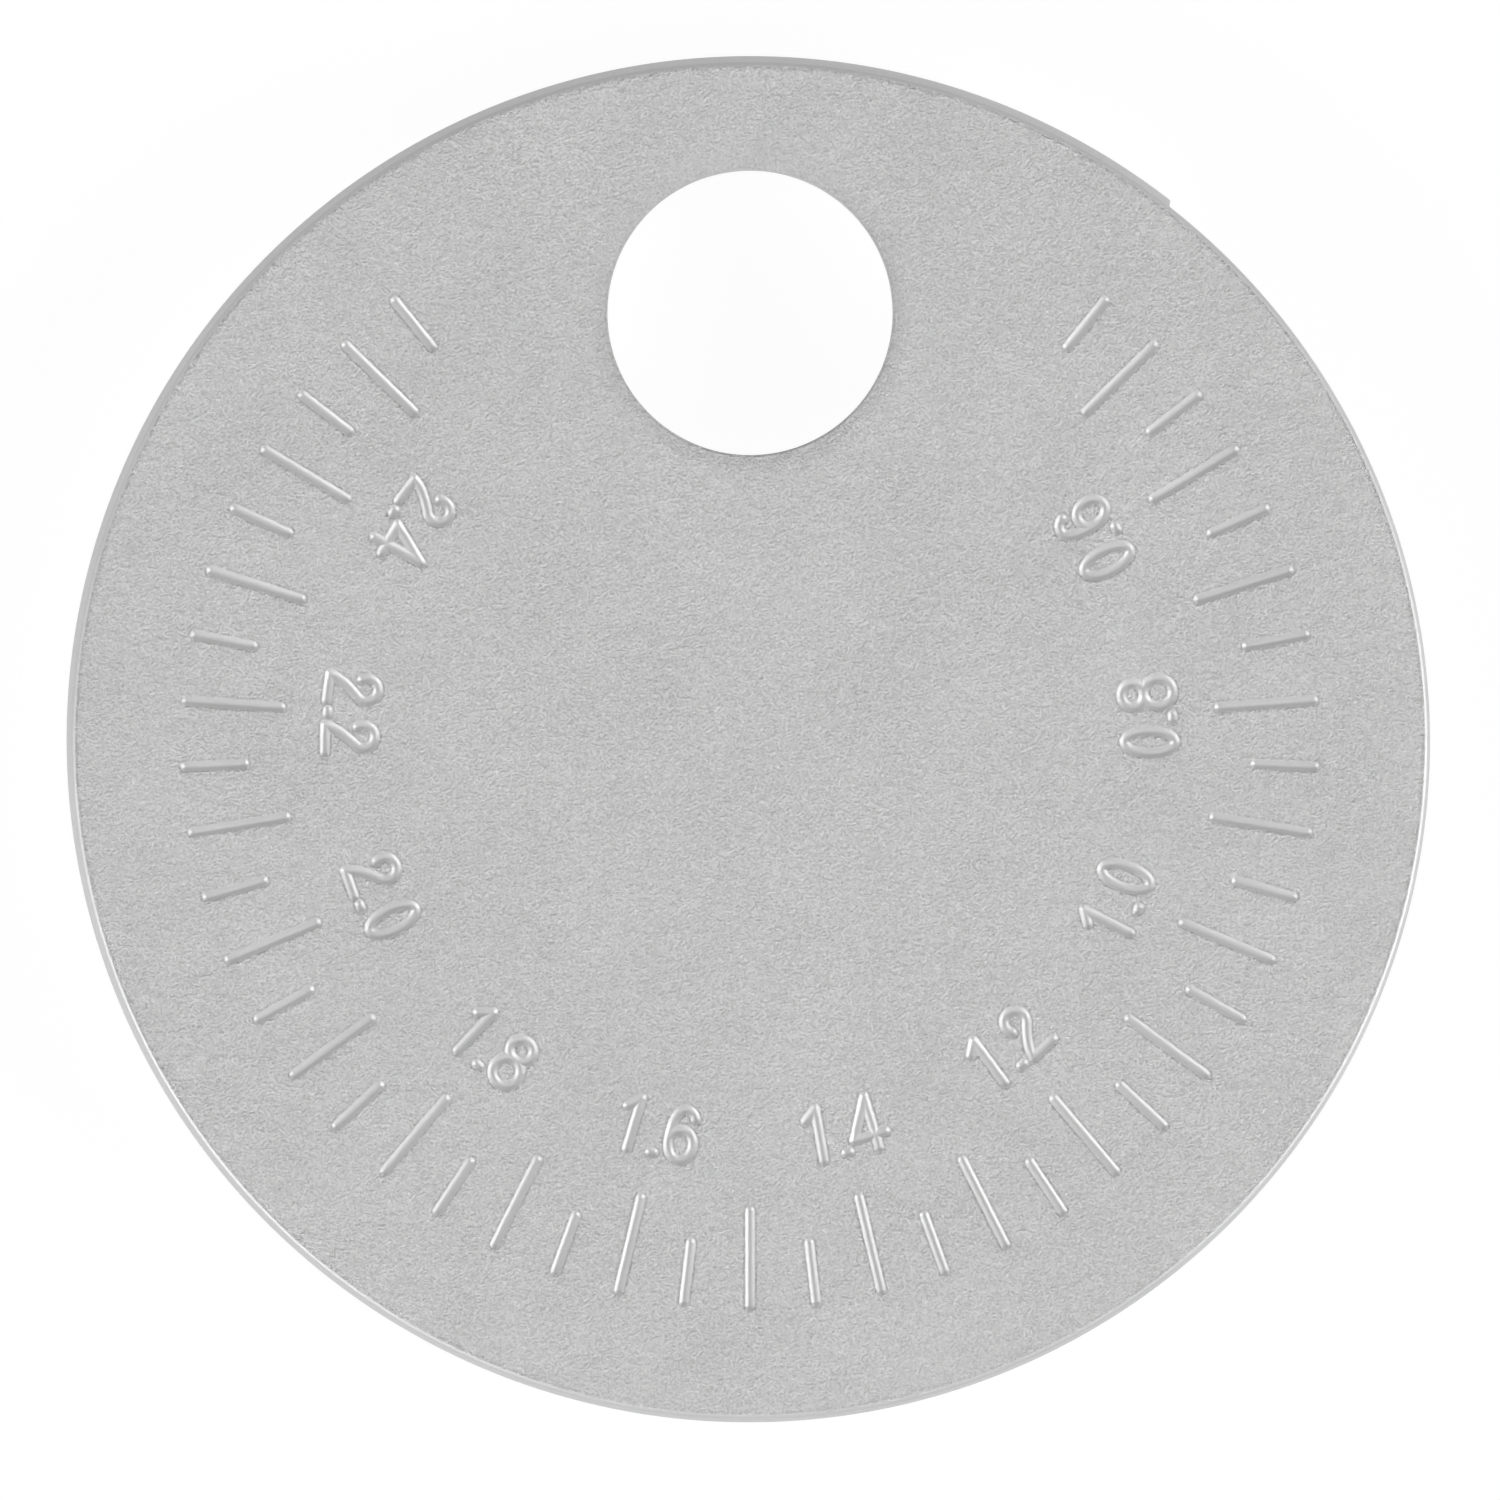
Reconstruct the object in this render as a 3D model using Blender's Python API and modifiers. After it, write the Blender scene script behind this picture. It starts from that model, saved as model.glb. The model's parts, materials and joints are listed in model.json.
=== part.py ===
"""Coin gauge for spark plug gaps, cast in one piece.

A ring of ticks is sunk in the face. The back has a ledge round the rim that
climbs like one turn of a thread, so the flange left in front of it gets
thicker from the first tick to the last. The electrode gap is set by turning
the flange into it and reading the tick where it stops.

Metres, +Z up. The gauge lies on its back with the face up. The origin is on
the back, in the middle of the disc, and +Y points to the hanging hole. Clock
angles are seen from above: zero at +Y, growing clockwise towards +X.
"""

import math

import bmesh
import bpy
from mathutils import Matrix, Vector

MM = 0.001

# Disc
FACE_DIAMETER = 38.0 * MM
DRAFT = math.radians(5.0)
EDGE_ROUND = 0.2 * MM

# Hanging hole, and the width of face left between it and the rim
HOLE_DIAMETER = 8.0 * MM
HOLE_MARGIN = 3.0 * MM
HOLE_ROUND = 0.3 * MM

# Gaps that the ramp measures, and the arc that they are spread over
GAP_FIRST = 0.45 * MM
GAP_LAST = 2.55 * MM
GAP_STEP = 0.05 * MM
SCALE_ARC = math.radians(282.2)

# Ledge behind the flange
LEDGE_WIDTH = 3.0 * MM
LEDGE_ROOT = 0.25 * MM
LEDGE_LEAD = math.radians(0.6)
BACK_LAND = 0.05 * MM

# Ticks sunk in the face
TICK_MARGIN = 3.0 * MM
TICK_LONG = 3.0 * MM
TICK_SHORT = 2.0 * MM
TICK_WIDTH = 0.28 * MM
TICK_FLOOR = 0.08 * MM
TICK_DEPTH = 0.1 * MM

# Fineness of the round shapes
DISC_SEGMENTS = 180
HOLE_SEGMENTS = 72
ROUND_SEGMENTS = 4
RAMP_SEGMENT = math.radians(3.0)
SHARP_ANGLE = math.radians(30.0)
MERGE_DISTANCE = 0.001 * MM
COUNT_TOLERANCE = 1e-6

# How far a cutter passes the surface that it meets
OVERLAP = 0.5 * MM
ROUND_OVERLAP = 0.02 * MM
TICK_OVERLAP = 0.1 * MM

THICKNESS = GAP_LAST + BACK_LAND
FACE_RADIUS = FACE_DIAMETER / 2
BACK_RADIUS = FACE_RADIUS + THICKNESS * math.tan(DRAFT)
HOLE_OFFSET = FACE_RADIUS - HOLE_MARGIN - HOLE_DIAMETER / 2
FIRST_TICK = math.pi - SCALE_ARC / 2
TICK_COUNT = math.floor((GAP_LAST - GAP_FIRST) / GAP_STEP + COUNT_TOLERANCE) + 1
CLIMB = (GAP_LAST - GAP_FIRST) / SCALE_ARC

CAST_GREY = (0.54, 0.54, 0.54, 1.0)
CAST_ROUGHNESS = 0.55
CAST_METALLIC = 0.6


def clear_scene():
    for obj in list(bpy.data.objects):
        bpy.data.objects.remove(obj, do_unlink=True)


def new_collection(name):
    collection = bpy.data.collections.new(name)
    bpy.context.scene.collection.children.link(collection)
    return collection


def add_object(name, bm, collection):
    mesh = bpy.data.meshes.new(name)
    bm.to_mesh(mesh)
    bm.free()
    obj = bpy.data.objects.new(name, mesh)
    collection.objects.link(obj)
    return obj


def hide_tool(obj):
    obj.display_type = 'WIRE'
    obj.hide_render = True
    return obj


def clock_turn(angle):
    """The turn that carries +Y to a clock angle."""
    return Matrix.Rotation(-angle, 4, 'Z')


def cast_zinc():
    material = bpy.data.materials.new("cast_zinc")
    material.use_nodes = True
    shader = material.node_tree.nodes["Principled BSDF"]
    shader.inputs["Base Color"].default_value = CAST_GREY
    shader.inputs["Roughness"].default_value = CAST_ROUGHNESS
    shader.inputs["Metallic"].default_value = CAST_METALLIC
    return material


def drafted_disc(collection):
    """The blank: a disc whose wall widens towards the back, with round edges."""
    bm = bmesh.new()
    bmesh.ops.create_cone(
        bm,
        cap_ends=True,
        segments=DISC_SEGMENTS,
        radius1=BACK_RADIUS,
        radius2=FACE_RADIUS,
        depth=THICKNESS,
        matrix=Matrix.Translation((0, 0, THICKNESS / 2)),
    )
    disc = add_object("gauge_disc", bm, collection)
    disc.data.shade_smooth()
    disc.data.set_sharp_from_angle(angle=SHARP_ANGLE)

    edges = disc.modifiers.new("round_edges", 'BEVEL')
    edges.width = EDGE_ROUND
    edges.segments = ROUND_SEGMENTS
    edges.limit_method = 'ANGLE'
    edges.angle_limit = SHARP_ANGLE
    return disc


def ledge_section(top):
    """Half section of the space behind the flange: points of radius and height.

    The inner upper corner is round, which leaves a fillet at the ledge's root.
    """
    inner = FACE_RADIUS - LEDGE_WIDTH
    outer = BACK_RADIUS + OVERLAP
    bottom = top - THICKNESS - OVERLAP
    points = [(inner, bottom), (outer, bottom), (outer, top)]
    for i in range(ROUND_SEGMENTS + 1):
        angle = math.pi / 2 * (1 + i / ROUND_SEGMENTS)
        points.append((
            inner + LEDGE_ROOT * (1 + math.cos(angle)),
            top - LEDGE_ROOT * (1 - math.sin(angle)),
        ))
    return points


def ledge_tool(collection):
    """Sweeps the section down and clockwise, from the notch to past the run-out."""
    start = FIRST_TICK - LEDGE_LEAD
    start_flange = GAP_FIRST - LEDGE_LEAD * CLIMB
    sweep = (THICKNESS + ROUND_OVERLAP - start_flange) / CLIMB
    steps = math.ceil(sweep / RAMP_SEGMENT)

    bm = bmesh.new()
    turn = clock_turn(start)
    corners = [
        bm.verts.new(turn @ Vector((0, radius, height)))
        for radius, height in ledge_section(THICKNESS - start_flange)
    ]
    section = bm.faces.new(corners)
    bmesh.ops.spin(
        bm,
        geom=[section, *section.edges, *section.verts],
        cent=(0, 0, 0),
        axis=(0, 0, -1),
        dvec=(0, 0, -sweep * CLIMB / steps),
        angle=sweep,
        steps=steps,
    )
    bmesh.ops.recalc_face_normals(bm, faces=bm.faces)
    return hide_tool(add_object("ledge_tool", bm, collection))


def tick_cutter(bm, length, place):
    """One cutter along +Y, with sloping sides and a narrow flat edge.

    Its sides go on above the face, so the tick is TICK_WIDTH wide on it.
    """
    slope = (TICK_WIDTH - TICK_FLOOR) / 2 / TICK_DEPTH
    for vert in bmesh.ops.create_cube(bm, size=1.0)["verts"]:
        height = TICK_OVERLAP if vert.co.z > 0 else -TICK_DEPTH
        vert.co = place @ Vector((
            math.copysign(TICK_WIDTH / 2 + slope * height, vert.co.x),
            math.copysign(length / 2 + slope * height, vert.co.y),
            height,
        ))


def tick_cutters(collection):
    """A cutter over each gap on the ledge. Every second one is long."""
    bm = bmesh.new()
    for i in range(TICK_COUNT):
        length = TICK_LONG if i % 2 else TICK_SHORT
        middle = FACE_RADIUS - TICK_MARGIN - length / 2
        turn = clock_turn(FIRST_TICK + i * GAP_STEP / CLIMB)
        tick_cutter(bm, length, turn @ Matrix.Translation((0, middle, THICKNESS)))
    return hide_tool(add_object("tick_cutters", bm, collection))


def hole_profile():
    """Outer side of the hole's space, from the top down: radius and height.

    It flares at both faces, which leaves round edges on the hole.
    """
    radius = HOLE_DIAMETER / 2
    flare = radius + HOLE_ROUND
    arc = []
    for i in range(ROUND_SEGMENTS + 1):
        angle = math.pi / 2 * i / ROUND_SEGMENTS
        arc.append((
            flare - HOLE_ROUND * math.sin(angle),
            THICKNESS - HOLE_ROUND * (1 - math.cos(angle)),
        ))
    (outer, high), (inner, low) = arc[:2]
    reach = (outer - inner) / (high - low) * ROUND_OVERLAP
    upper = [
        (0, THICKNESS + OVERLAP),
        (flare + reach, THICKNESS + OVERLAP),
        (flare + reach, THICKNESS + ROUND_OVERLAP),
        *arc[1:],
    ]
    lower = [(x, THICKNESS - z) for x, z in reversed(upper)]
    return upper + lower


def hole_tool(collection):
    bm = bmesh.new()
    points = [bm.verts.new((x, 0, z)) for x, z in hole_profile()]
    for upper, lower in zip(points, points[1:]):
        bm.edges.new((upper, lower))
    tool = add_object("hole_tool", bm, collection)
    tool.location = (0, HOLE_OFFSET, 0)

    turned = tool.modifiers.new("turn", 'SCREW')
    turned.axis = 'Z'
    turned.steps = HOLE_SEGMENTS
    turned.render_steps = HOLE_SEGMENTS
    turned.use_merge_vertices = True
    turned.merge_threshold = MERGE_DISTANCE
    return hide_tool(tool)


def combine(obj, tool, operation):
    boolean = obj.modifiers.new(tool.name, 'BOOLEAN')
    boolean.operation = operation
    boolean.solver = 'EXACT'
    boolean.object = tool


def build():
    clear_scene()
    parts = new_collection("spark_plug_gap_gauge")
    tools = new_collection("shaping_tools")

    disc = drafted_disc(parts)
    disc.data.materials.append(cast_zinc())
    combine(disc, ledge_tool(tools), 'DIFFERENCE')
    combine(disc, tick_cutters(tools), 'DIFFERENCE')
    combine(disc, hole_tool(tools), 'DIFFERENCE')


build()
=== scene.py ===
"""Looks of a coin gauge for spark plug gaps, built around its packed model.

The gauge is one zinc casting. Its rim is one section swept round the disc, while the
ledge behind the flange drops towards the back like one turn of a thread. The scale is
pressed into the face, as strokes with sloping sides and soft shoulders.

Metres, +Z up. The gauge lies on its back with the face up, the middle of the disc is at
the origin and the hanging hole is towards +Y. Clock angles are zero at +Y and grow
clockwise, towards +X.
"""

import json
import math

import bmesh
import bpy
from bpy.props import FloatProperty, FloatVectorProperty, IntProperty, PointerProperty
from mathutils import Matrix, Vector
from mathutils.geometry import delaunay_2d_cdt

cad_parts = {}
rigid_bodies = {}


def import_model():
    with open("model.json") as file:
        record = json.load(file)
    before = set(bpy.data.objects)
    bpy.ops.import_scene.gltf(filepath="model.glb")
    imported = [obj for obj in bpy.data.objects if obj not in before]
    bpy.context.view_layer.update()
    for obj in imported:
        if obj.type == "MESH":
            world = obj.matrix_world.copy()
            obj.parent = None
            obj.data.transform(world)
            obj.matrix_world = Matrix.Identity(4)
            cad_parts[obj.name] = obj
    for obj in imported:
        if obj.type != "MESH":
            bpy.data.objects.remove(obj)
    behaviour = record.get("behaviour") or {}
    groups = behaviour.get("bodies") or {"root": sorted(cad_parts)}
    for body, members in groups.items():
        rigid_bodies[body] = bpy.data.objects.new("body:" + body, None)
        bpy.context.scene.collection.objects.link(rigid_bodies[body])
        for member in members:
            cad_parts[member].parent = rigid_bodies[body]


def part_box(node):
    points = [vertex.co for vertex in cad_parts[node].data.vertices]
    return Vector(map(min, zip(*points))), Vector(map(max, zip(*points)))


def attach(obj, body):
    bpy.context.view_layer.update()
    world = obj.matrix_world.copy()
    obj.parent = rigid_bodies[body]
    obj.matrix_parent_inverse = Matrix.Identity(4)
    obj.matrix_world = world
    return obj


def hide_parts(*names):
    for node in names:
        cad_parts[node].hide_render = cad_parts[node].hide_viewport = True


bl_info = {
    "name": "Spark Plug Gap Gauge",
    "version": (1, 0, 0),
    "blender": (4, 5, 0),
    "location": "View3D > Sidebar > Gap Gauge",
    "description": "Builds a cast coin gauge with its sunk scale, and a plain stage",
    "category": "Object",
}

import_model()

MM = 0.001
QUARTER = math.pi / 2
FULL_TURN = 2 * math.pi

NODE = "gauge_disc"
BODY = "root"

FACE_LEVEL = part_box(NODE)[1].z
MERGE_DISTANCE = 0.0005 * MM
SHARP_ANGLE = math.radians(35.0)

# Width of the flat strip that the swept rim has on the face and on the back
FLAT_STRIP = 0.05 * MM

# Steps in the round edges and corners of the casting, and in the bends of the digits
EDGE_STEPS = 8
CORNER_STEPS = 6
OVAL_STEPS = 48
HOOK_STEPS = 28
BEND_STEPS = 12

# How close two points of the face have to lie for its fill to join them, in millimetres
FILL_TOLERANCE = 1e-5

# How fast the rough grain of a stroke's shoulder fades down its side
SHOULDER_FADE = 5.0


# Properties


def length(name, description, default):
    return FloatProperty(
        name=name,
        description=description,
        default=default,
        min=0.0,
        precision=6,
        subtype='DISTANCE',
        unit='LENGTH',
    )


def angle(name, description, degrees):
    return FloatProperty(
        name=name,
        description=description,
        default=math.radians(degrees),
        subtype='ANGLE',
        unit='ROTATION',
    )


def share(name, description, default):
    return FloatProperty(
        name=name,
        description=description,
        default=default,
        min=0.0,
        max=1.0,
        subtype='FACTOR',
    )


def amount(name, description, default):
    return FloatProperty(name=name, description=description, default=default, min=0.0)


def number(name, description, default):
    return IntProperty(name=name, description=description, default=default, min=1)


def colour(name, description, default):
    return FloatVectorProperty(
        name=name,
        description=description,
        default=default,
        size=4,
        min=0.0,
        max=1.0,
        subtype='COLOR',
    )


class GapGaugeCasting(bpy.types.PropertyGroup):
    """Sizes of the cast body."""

    face_diameter: length("Face Diameter", "Across the face, to the rim", 38.0 * MM)
    draft: angle("Draft", "Slope of the rim, which widens to the back", 5.0)
    pocket_draft: angle("Ledge Draft", "Slope of the wall that the ledge leaves", 3.0)
    edge_round: length("Edge Round", "Width of the round edge of the face", 0.2 * MM)
    back_round: length("Back Round", "Radius of the edges towards the back", 0.12 * MM)
    hole_diameter: length("Hole Diameter", "Across the hanging hole", 8.0 * MM)
    hole_margin: length("Hole Margin", "Face left between hole and rim", 3.0 * MM)
    hole_round: length("Hole Round", "Radius of the hole's edges", 0.12 * MM)
    ledge_width: length("Ledge Width", "Depth of the ledge behind the rim", 3.0 * MM)
    ledge_root: length("Ledge Root", "Radius of the ledge's inner corner", 0.25 * MM)
    ledge_lead: angle("Ledge Lead", "From the notch to the first tick", 0.45)
    step_lean: angle("Step Lean", "Slope of the step at the notch", 2.0)
    step_root: length("Step Root", "Radius of the step's upper corner", 0.1 * MM)
    stations: number("Stations", "Sections in one turn of the sweep", 720)
    hole_segments: number("Hole Segments", "Sides of the hanging hole", 144)
    sink_width: length("Sink Width", "Face that sinks towards the hole", 0.5 * MM)
    sink_depth: length("Sink Depth", "How far it sinks there", 0.085 * MM)
    sink_rings: number("Sink Rings", "Rings of points in that face", 6)


class GapGaugeScale(bpy.types.PropertyGroup):
    """Sizes of the sunk scale."""

    gap_first: length("First Gap", "Flange thickness at the first tick", 0.45 * MM)
    gap_last: length("Last Gap", "Flange thickness at the last tick", 2.55 * MM)
    gap_step: length("Gap Step", "Gap from one tick to the next", 0.05 * MM)
    arc: angle("Arc", "From the first tick to the last", 282.2)
    tick_margin: length("Tick Margin", "Face left outside the ticks", 3.0 * MM)
    tick_long: length("Long Tick", "Length of every second tick", 3.0 * MM)
    tick_short: length("Short Tick", "Length of the ticks between", 2.0 * MM)
    digit_radius: length("Digit Radius", "From the middle to the numbers", 11.2 * MM)
    stroke_width: length("Stroke Width", "Width of a stroke at the face", 0.36 * MM)
    stroke_floor: length("Stroke Floor", "Width of a stroke's floor", 0.06 * MM)
    stroke_depth: length("Stroke Depth", "Depth of a stroke", 0.1 * MM)
    floor_round: length("Floor Round", "Depth over which the floor curves up", 0.015 * MM)
    shoulder: length("Shoulder", "Depth over which the face curves down", 0.03 * MM)
    contours: number("Contours", "Lines of points from a stroke's middle to its edge", 9)
    end_points: number("End Points", "Points round a stroke's end", 10)


class GapGaugeFinish(bpy.types.PropertyGroup):
    """Colour and grain of the cast zinc."""

    grey: colour("Grey", "Colour of the casting", (0.54, 0.54, 0.54, 1.0))
    metallic: share("Metallic", "How much the casting shines as metal", 0.65)
    roughness: share("Roughness", "How matt the casting is", 0.54)
    grain: length("Grain", "Width of the grain of the skin", 0.075 * MM)
    grain_height: length("Grain Height", "Depth of that grain", 0.135 * MM)
    broad_grain: length("Broad Grain", "Width of the coarser grain under it", 0.3 * MM)
    broad_share: share("Broad Share", "Its height beside the fine grain's", 0.6)
    calm: share("Calm", "How much weaker the grain is below the face", 0.92)
    calm_depth: length("Calm Depth", "Depth from which it is weaker", 0.05 * MM)
    wall_depth: length("Wall Depth", "Depth from which the grain is the wall's", 0.5 * MM)
    wall_grain: share("Wall Grain", "Grain that comes back on walls and back", 0.45)
    shoulder_grain: amount("Shoulder Grain", "More grain where the face curves down", 9.0)
    tone: share("Tone", "How much the grey varies", 0.9)
    cloud: length("Cloud", "Width of the soft clouds in the grey", 3.0 * MM)
    cloud_tone: share("Cloud Tone", "Their share in the grey", 0.2)
    cloud_roughness: share("Cloud Roughness", "Their share in the roughness", 0.1)


class GapGaugeStage(bpy.types.PropertyGroup):
    """Floor, lamps and camera."""

    view_width: length("View Width", "Width of the view at the face", 42.02 * MM)
    view_drop: length("View Drop", "From the middle down to the view's", 0.263 * MM)
    view_distance: length("View Distance", "From the camera to the face", 1.2)
    right_lamp: amount("Right Lamp", "Power of the right softbox, in watts", 1.6)
    left_lamp: amount("Left Lamp", "Power of the left softbox, in watts", 1.44)
    top_lamp: amount("Top Lamp", "Power of the softbox above, in watts", 1.65)
    fill: share("Fill", "Light from all round", 0.06)
    floor_width: length("Floor Width", "Width of the floor", 3.0)
    floor_gap: length("Floor Gap", "From the floor up to the gauge", 0.02 * MM)
    floor_grey: share("Floor Grey", "How light the floor is for the lamps", 0.85)
    floor_white: amount("Floor White", "How bright the floor looks", 1.06)
    floor_shadow: share("Floor Shadow", "How much of the shadow shows on it", 0.1)


# Node trees


class Field:
    """A number in a node tree. Arithmetic on it adds Math nodes to the tree."""

    def __init__(self, socket):
        self.socket = socket

    def math(self, operation, *others, swap=False):
        node = self.socket.id_data.nodes.new('ShaderNodeMath')
        node.operation = operation
        values = (*others, self) if swap else (self, *others)
        for socket, value in zip(node.inputs, values):
            feed(socket, value)
        return Field(node.outputs[0])

    def __add__(self, other):
        return self.math('ADD', other)

    def __sub__(self, other):
        return self.math('SUBTRACT', other)

    def __rsub__(self, other):
        return self.math('SUBTRACT', other, swap=True)

    def __mul__(self, other):
        return self.math('MULTIPLY', other)

    def __truediv__(self, other):
        return self.math('DIVIDE', other)

    def lowest(self, other):
        return self.math('MINIMUM', other)

    def highest(self, other):
        return self.math('MAXIMUM', other)

    def root(self):
        return self.math('SQRT')


def feed(socket, value):
    """Links a value to a socket, or sets it there."""
    if isinstance(value, Field):
        value = value.socket
    if isinstance(value, bpy.types.NodeSocket):
        socket.id_data.links.new(value, socket)
    else:
        socket.default_value = value


def add_node(tree, kind, inputs=None, **settings):
    node = tree.nodes.new(kind)
    for name, value in settings.items():
        setattr(node, name, value)
    for name, value in (inputs or {}).items():
        feed(node.inputs[name], value)
    return node


def vector(tree, x=0.0, y=0.0, z=0.0):
    node = add_node(tree, 'ShaderNodeCombineXYZ', {"X": x, "Y": y, "Z": z})
    return node.outputs["Vector"]


def parts_of(tree, value):
    """The three numbers of a vector."""
    node = add_node(tree, 'ShaderNodeSeparateXYZ', {"Vector": value})
    return [Field(socket) for socket in node.outputs]


SOCKET_TYPES = {
    int: 'NodeSocketInt',
    float: 'NodeSocketFloat',
    bpy.types.Object: 'NodeSocketObject',
    bpy.types.Collection: 'NodeSocketCollection',
    bpy.types.Material: 'NodeSocketMaterial',
}


def new_tree(name, values):
    """A geometry tree with an input for each named value, and those inputs."""
    tree = bpy.data.node_groups.new(name, 'GeometryNodeTree')
    kinds = {"Geometry": 'NodeSocketGeometry'}
    kinds.update((label, SOCKET_TYPES[type(value)]) for label, value in values.items())
    for label, kind in kinds.items():
        tree.interface.new_socket(label, in_out='INPUT', socket_type=kind)
    tree.interface.new_socket(
        "Geometry", in_out='OUTPUT', socket_type='NodeSocketGeometry'
    )
    entry = tree.nodes.new('NodeGroupInput')
    numbers = (SOCKET_TYPES[int], SOCKET_TYPES[float])
    inputs = {}
    for label, kind in kinds.items():
        socket = entry.outputs[label]
        inputs[label] = Field(socket) if kind in numbers else socket
    return tree, inputs


def end_tree(tree, geometry, material):
    """Ends a tree: instances made real, smooth, and in their material."""
    real = add_node(tree, 'GeometryNodeRealizeInstances', {"Geometry": geometry})
    smooth = add_node(
        tree, 'GeometryNodeSetShadeSmooth', {"Geometry": real.outputs["Geometry"]}
    )
    coated = add_node(
        tree,
        'GeometryNodeSetMaterial',
        {"Geometry": smooth.outputs["Geometry"], "Material": material},
    )
    leave = tree.nodes.new('NodeGroupOutput')
    feed(leave.inputs["Geometry"], coated.outputs["Geometry"])


def run_tree(obj, tree, values):
    """Runs a tree on an object and keeps the result as the object's plain mesh."""
    modifier = obj.modifiers.new(tree.name, 'NODES')
    modifier.node_group = tree
    for item in tree.interface.items_tree:
        if item.in_out == 'INPUT' and item.name in values:
            modifier[item.identifier] = values[item.name]
    keep_result(obj)
    if not obj.data.edges:
        raise RuntimeError(f"{tree.name} made nothing")


def keep_result(obj):
    """Turns an object with its modifiers into a plain mesh."""
    graph = bpy.context.evaluated_depsgraph_get()
    mesh = bpy.data.meshes.new_from_object(obj.evaluated_get(graph), depsgraph=graph)
    mesh.name = obj.name
    obj.modifiers.clear()
    obj.data = mesh


# Meshes


def add_object(name, data):
    obj = bpy.data.objects.new(name, data)
    bpy.context.scene.collection.objects.link(obj)
    return obj


def point_object(name, points, joined=False, **attributes):
    """An object of loose or joined points, with a number from each attribute."""
    mesh = bpy.data.meshes.new(name)
    edges = [(i, i + 1) for i in range(len(points) - 1)] if joined else []
    mesh.from_pydata(points, edges, [])
    for label, values in attributes.items():
        layer = mesh.attributes.new(label, 'FLOAT', 'POINT')
        layer.data.foreach_set("value", [float(value) for value in values])
    return add_object(name, mesh)


def remove(*objects):
    for obj in objects:
        bpy.data.objects.remove(obj, do_unlink=True)


def arc_points(centre, radii, first, last, count):
    """Points of an ellipse's arc. The angles run counter-clockwise from +X."""
    return [
        (
            centre[0] + radii[0] * math.cos(first + (last - first) * i / count),
            centre[1] + radii[1] * math.sin(first + (last - first) * i / count),
        )
        for i in range(count + 1)
    ]


def attribute(tree, name):
    node = add_node(tree, 'GeometryNodeInputNamedAttribute', {"Name": name})
    return Field(node.outputs["Attribute"])


# Cast body


def drop_rate(scale):
    return (scale.gap_last - scale.gap_first) / scale.arc


def first_tick(scale):
    return math.pi - scale.arc / 2


def rim_section(casting, flange):
    """The rim's section at the notch, from the face round to the back.

    Each point is a radius, a height, how far it follows the ledge's drop, how far it
    slides outwards for that, and whether the ledge's inner corner presses it down.
    """
    face_radius = casting.face_diameter / 2
    draft = math.tan(casting.draft)
    points = []

    def add(arc, follow, slide, pressed=0.0):
        points.extend((r, z, follow, slide, pressed) for r, z in arc)

    top = casting.edge_round * math.tan((QUARTER + casting.draft) / 2)
    centre = (face_radius - casting.edge_round, FACE_LEVEL - top)
    add([(centre[0] - FLAT_STRIP, FACE_LEVEL)], 0.0, 0.0)
    add(arc_points(centre, (top, top), QUARTER, casting.draft, EDGE_STEPS), 0.0, 0.0)

    low = casting.back_round
    under = FACE_LEVEL - flange
    wall = face_radius + (FACE_LEVEL - under - low) * draft
    centre = (wall - low / math.cos(casting.draft), under + low)
    edge = arc_points(centre, (low, low), casting.draft, -QUARTER, CORNER_STEPS)
    add(edge, 1.0, draft)

    root = casting.ledge_root
    lean = casting.pocket_draft
    inner = face_radius - casting.ledge_width
    centre = (inner + root, under - root)
    corner = arc_points(centre, (root, root), QUARTER, math.pi - lean, EDGE_STEPS)
    add(corner, 1.0, -math.tan(lean))

    foot_radius, foot = corner[-1]
    wall = foot_radius - (foot - low) * math.tan(lean)
    centre = (wall - low / math.cos(lean), low)
    edge = arc_points(centre, (low, low), -lean, -QUARTER, CORNER_STEPS)
    add([*edge, (centre[0] - FLAT_STRIP, 0.0)], 0.0, 0.0, 1.0)
    return points, foot_radius, foot


def ledge_path(casting, scale, flange):
    """Clock angle and drop of the ledge at each station, from the notch round to it.

    The ramp drops to the back and stays there. The step at the notch then brings it up
    again, leaning and with round corners as in a mould.
    """
    start = first_tick(scale) - casting.ledge_lead
    full = FACE_LEVEL - flange
    low, root, lean = casting.back_round, casting.step_root, casting.step_lean
    face_radius = casting.face_diameter / 2
    middle = face_radius - casting.ledge_width / 2

    turns = [i / CORNER_STEPS * (QUARTER - lean) for i in range(CORNER_STEPS + 1)]
    step = [
        (low * math.sin(a), low * (1 - math.cos(a)))
        for a in turns[1:]
    ]
    straight = full - (low + root) * (1 - math.sin(lean))
    corner = (
        step[-1][0] + straight * math.tan(lean) + root * math.cos(lean),
        full,
    )
    step += [
        (corner[0] - root * math.sin(a), corner[1] - root * (1 - math.cos(a)))
        for a in reversed(turns)
    ]
    step_angle = corner[0] / middle

    turn = FULL_TURN - step_angle
    path = [
        (
            start + turn * i / casting.stations,
            min(turn * i / casting.stations * drop_rate(scale), full),
        )
        for i in range(casting.stations + 1)
    ]
    path += [(start + turn + x / middle, full - rise) for x, rise in step]
    return path


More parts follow.
